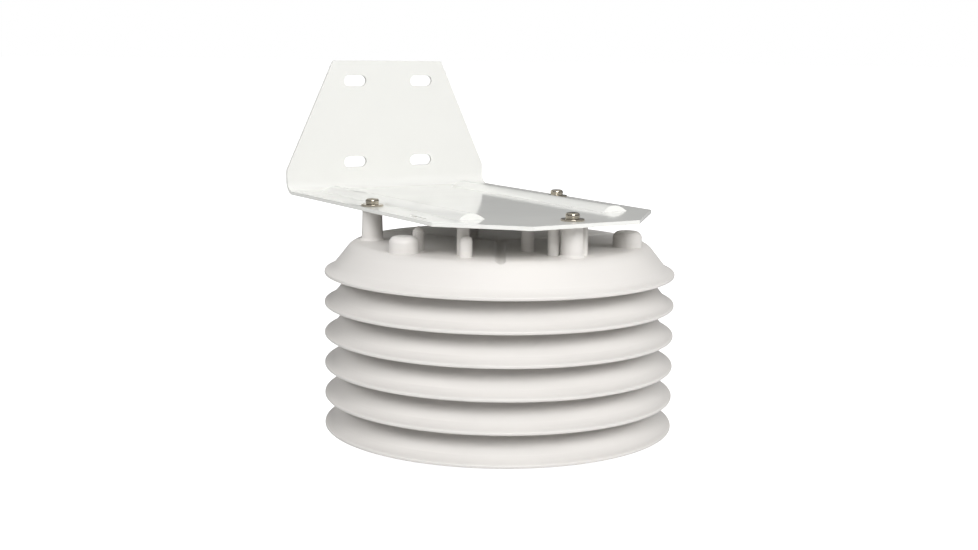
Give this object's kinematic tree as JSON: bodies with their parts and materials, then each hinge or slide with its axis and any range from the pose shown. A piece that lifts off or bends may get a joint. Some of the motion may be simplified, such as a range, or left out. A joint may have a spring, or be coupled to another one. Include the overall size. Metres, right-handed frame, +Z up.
{
  "type": "passive multi-plate radiation shield",
  "caption": "White radiation shield of stacked bell-shaped louvre plates on long screws under a bent bracket with a slotted upright flange, for a weather sensor.",
  "frame": {"origin": "centre of the whole part's bounding box in plan, at the height of the lowest rim; the shield's axis stands at y = -0.02225 m", "axes": "+Z up along the shield's axis; +Y from the shield towards the upright flange and its pole or wall; +X to the right seen from the bracket's tip"},
  "size_m": [0.213, 0.2574, 0.2194],
  "materials": {
    "bracket_paint": "gloss white powder coat on bent aluminium sheet",
    "plate_plastic": "matt warm white UV-stable moulded plastic",
    "plated_steel": "nickel-plated stainless fasteners",
    "carrier_plastic": "satin white moulded plastic",
    "board_laminate": "green solder mask on glass laminate",
    "chip_black": "black moulded chip",
    "terminal_plastic": "green terminal block",
    "gland_plastic": "black polyamide",
    "seal_rubber": "black rubber"
  },
  "bodies": {
    "shield_stack": {"mounting_bracket": "bracket_paint", "top_plate": "plate_plastic", "second_plate": "plate_plastic", "louvre_plate_3": "plate_plastic", "louvre_plate_4": "plate_plastic", "louvre_plate_5": "plate_plastic", "flat_washer_1": "plated_steel", "flat_washer_2": "plated_steel", "flat_washer_3": "plated_steel", "lock_washer_1": "plated_steel", "lock_washer_2": "plated_steel", "lock_washer_3": "plated_steel"},
    "service_base": {"base_plate": "plate_plastic", "hex_nut_1": "plated_steel", "hex_nut_2": "plated_steel", "hex_nut_3": "plated_steel", "sensor_carrier": "carrier_plastic", "carrier_screws": "plated_steel", "circuit_board": "board_laminate", "humidity_sensor": "chip_black", "temperature_sensor": "chip_black", "cable_terminal": "terminal_plastic", "gland_body": "gland_plastic", "gland_locknut": "gland_plastic", "gland_seal": "seal_rubber"},
    "screw_1": {"stack_screw_1": "plated_steel"},
    "screw_2": {"stack_screw_2": "plated_steel"},
    "screw_3": {"stack_screw_3": "plated_steel"},
    "filter_cap": {"filter_cap": "carrier_plastic"},
    "gland_nut": {"gland_nut": "gland_plastic"}
  },
  "joints": [
    {"name": "base_drop", "type": "slide", "parent": "shield_stack", "child": "service_base", "axis": [0, 0, -1], "range_m": [0, 0.025]},
    {"name": "screw_1_turn", "type": "hinge", "parent": "shield_stack", "child": "screw_1", "pos_m": [-0.06729, 0.0166, 0.1352], "axis": [0, 0, -1], "continuous": true},
    {"name": "screw_2_turn", "type": "hinge", "parent": "shield_stack", "child": "screw_2", "pos_m": [0.06729, 0.0166, 0.1352], "axis": [0, 0, -1], "continuous": true},
    {"name": "screw_3_turn", "type": "hinge", "parent": "shield_stack", "child": "screw_3", "pos_m": [0, -0.09995, 0.1352], "axis": [0, 0, -1], "continuous": true},
    {"name": "filter_cap_turn", "type": "hinge", "parent": "service_base", "child": "filter_cap", "pos_m": [0, -0.02225, 0.044], "axis": [0, 0, 1], "continuous": true},
    {"name": "gland_nut_turn", "type": "hinge", "parent": "service_base", "child": "gland_nut", "pos_m": [0.03, -0.02225, 0.01], "axis": [0, 0, -1], "continuous": true}
  ]
}
